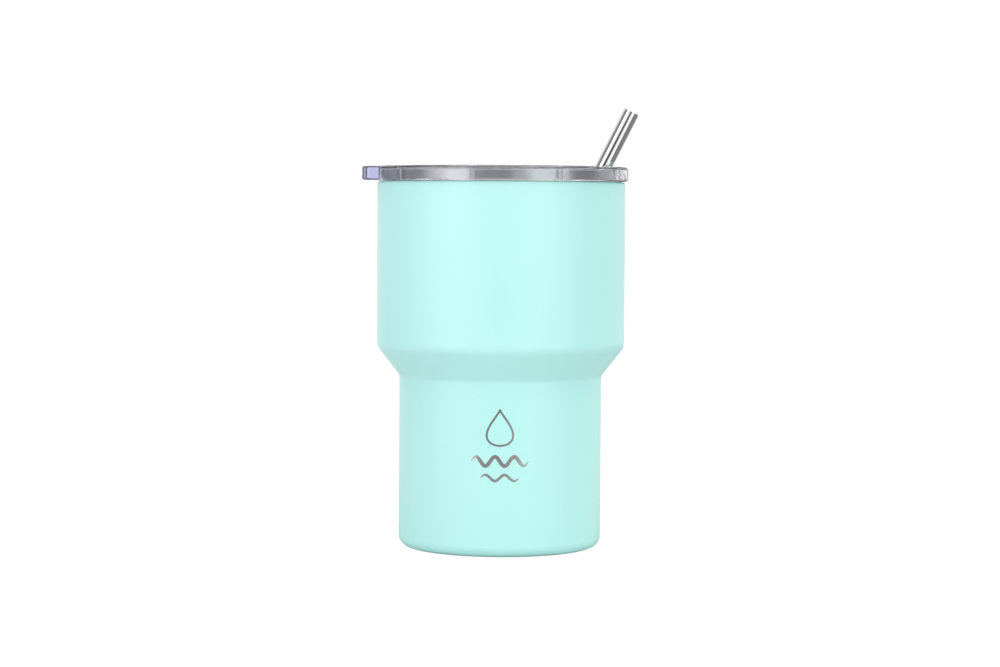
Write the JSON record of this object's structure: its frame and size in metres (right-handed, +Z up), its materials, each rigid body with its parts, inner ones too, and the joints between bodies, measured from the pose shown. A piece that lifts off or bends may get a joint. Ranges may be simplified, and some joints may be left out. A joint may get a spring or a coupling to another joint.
{
  "type": "insulated travel mug",
  "caption": "Stepped double-wall steel travel mug with a clear press-in lid, a sliding sip closure, a thumb tab and a straight metal straw.",
  "frame": {"origin": "centre of the base, on the surface the mug stands on", "axes": "+Z up along the mug's axis; -X towards the lid's thumb tab; +X towards the sip opening, where the straw leans out"},
  "size_m": [0.1035, 0.0954, 0.1648],
  "materials": {
    "powder_coat": "fine satin powder coat, mint",
    "bare_steel": "fine turned stainless steel",
    "polished_steel": "polished stainless steel",
    "foil": "thin bright foil",
    "glass_solder": "dark fused glass bead",
    "getter_alloy": "matt sintered metal",
    "lid_plastic": "clear moulded copolyester with a faint violet tint",
    "slider_plastic": "clear moulded copolyester with a faint violet tint",
    "silicone": "matt translucent white silicone"
  },
  "bodies": {
    "cup": {"outer_shell": "powder_coat", "inner_liner": "bare_steel", "outer_base": "bare_steel", "base_cover": "bare_steel", "vacuum_seal_bead": "glass_solder", "getter_pellet": "getter_alloy", "getter_clip": "bare_steel", "reflector_foil": "foil"},
    "seal_ring": {"lid_seal": "silicone"},
    "lid": {"lid_body": "lid_plastic"},
    "closure": {"slider": "slider_plastic"},
    "straw": {"straw": "polished_steel"}
  },
  "joints": [
    {"name": "lid_lift", "type": "slide", "parent": "cup", "child": "seal_ring", "axis": [0, 0, 1], "range_m": [0, 0.15]},
    {"name": "lid_turn", "type": "hinge", "parent": "seal_ring", "child": "lid", "pos_m": [0, 0, 0.1375], "axis": [0, 0, 1], "continuous": true},
    {"name": "slider_slide", "type": "slide", "parent": "lid", "child": "closure", "axis": [1, 0, 0], "range_m": [0, 0.012]},
    {"name": "straw_slide", "type": "slide", "parent": "lid", "child": "straw", "axis": [0.4478, 0, 0.8942], "range_m": [0, 0.155]}
  ]
}
